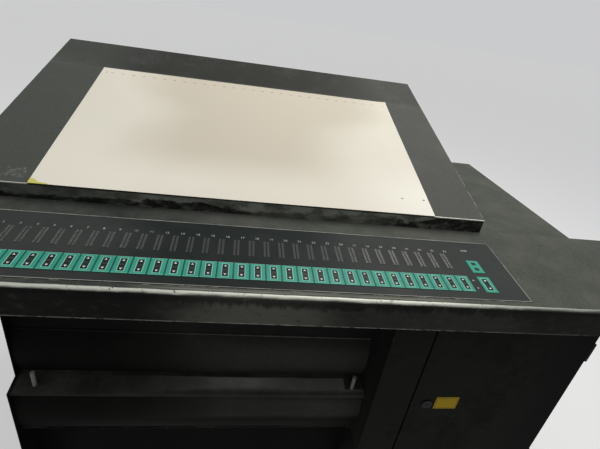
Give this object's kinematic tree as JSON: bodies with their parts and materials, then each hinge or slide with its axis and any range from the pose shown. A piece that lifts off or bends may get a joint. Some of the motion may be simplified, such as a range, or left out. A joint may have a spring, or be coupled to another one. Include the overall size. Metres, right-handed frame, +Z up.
{
  "type": "offset press control console",
  "caption": "Ink-key control desk of a sheet-fed press: sloping key panel, slanted table with a printed sheet, open storage bay and hinged cabinet.",
  "frame": {"origin": "centre of the bounding box, on the floor under the feet", "axes": "+X along the desk to the operator's right, +Y from the operator towards the back, +Z up"},
  "size_m": [1.766, 1.0614, 1.1822],
  "materials": {
    "desk_paint": "textured grey-green paint, edges worn bright",
    "base_paint": "dark grey paint, dusty and stained",
    "panel_film": "satin membrane film with a pale outline",
    "key_seams": "satin",
    "key_mint": "satin membrane keys",
    "key_windows": "dark windows with two press points",
    "bar_frames": "printed lamp frames",
    "table_steel": "matt slate grey, rubbed",
    "bare_steel": "worn bare steel",
    "rail_paint": "black paint, chipped and inky",
    "bow_paint": "dark grey satin paint",
    "ledge_paint": "mid grey, rubbed",
    "peg_plastic": "off-white",
    "door_paint": "dark grey paint, dusty",
    "lock_metal": "dull and dirty",
    "sill_paint": "black, scuffed",
    "sheet_paper": "uncoated white sheet with printed crop marks"
  },
  "bodies": {
    "console": {"desk_shell": "desk_paint", "desk_pan": "base_paint", "ink_panel": "panel_film", "key_strip": "key_seams", "key_cells": "key_mint", "key_windows": "key_windows", "key_buttons": "key_windows", "bar_displays": "bar_frames", "sweep_keys": "key_mint", "sweep_windows": "key_windows", "table_face": "table_steel", "table_front_edge": "bare_steel", "front_rail": "rail_paint", "back_rail": "rail_paint", "left_rail": "rail_paint", "right_rail": "rail_paint", "right_cheek": "base_paint", "upper_back": "base_paint", "side_shelf": "desk_paint", "left_side": "base_paint", "right_side": "base_paint", "partition": "base_paint", "back_panel": "base_paint", "vent_louvres": "base_paint", "bay_fascia": "base_paint", "upper_bow": "bow_paint", "ledge": "ledge_paint", "ledge_pegs": "peg_plastic", "lower_bow": "bow_paint", "recess_soffit": "base_paint", "kick_panel": "base_paint", "bay_floor": "base_paint", "cabinet_floor": "base_paint", "cabinet_top": "base_paint", "stile": "door_paint", "head_rail": "door_paint", "sill_rail": "door_paint", "hinge_leaves": "lock_metal", "left_sill": "sill_paint", "middle_sill": "sill_paint", "right_sill": "sill_paint", "feet": "bare_steel", "press_sheet": "sheet_paper"},
    "door": {"cabinet_door": "door_paint", "door_lock": "lock_metal", "hinge_sleeves": "lock_metal"}
  },
  "joints": [
    {"name": "cabinet_door_hinge", "type": "hinge", "parent": "console", "child": "door", "pos_m": [0.766, -0.41166, 0.4], "axis": [0, 0, 1], "range_deg": [0, 110]}
  ]
}
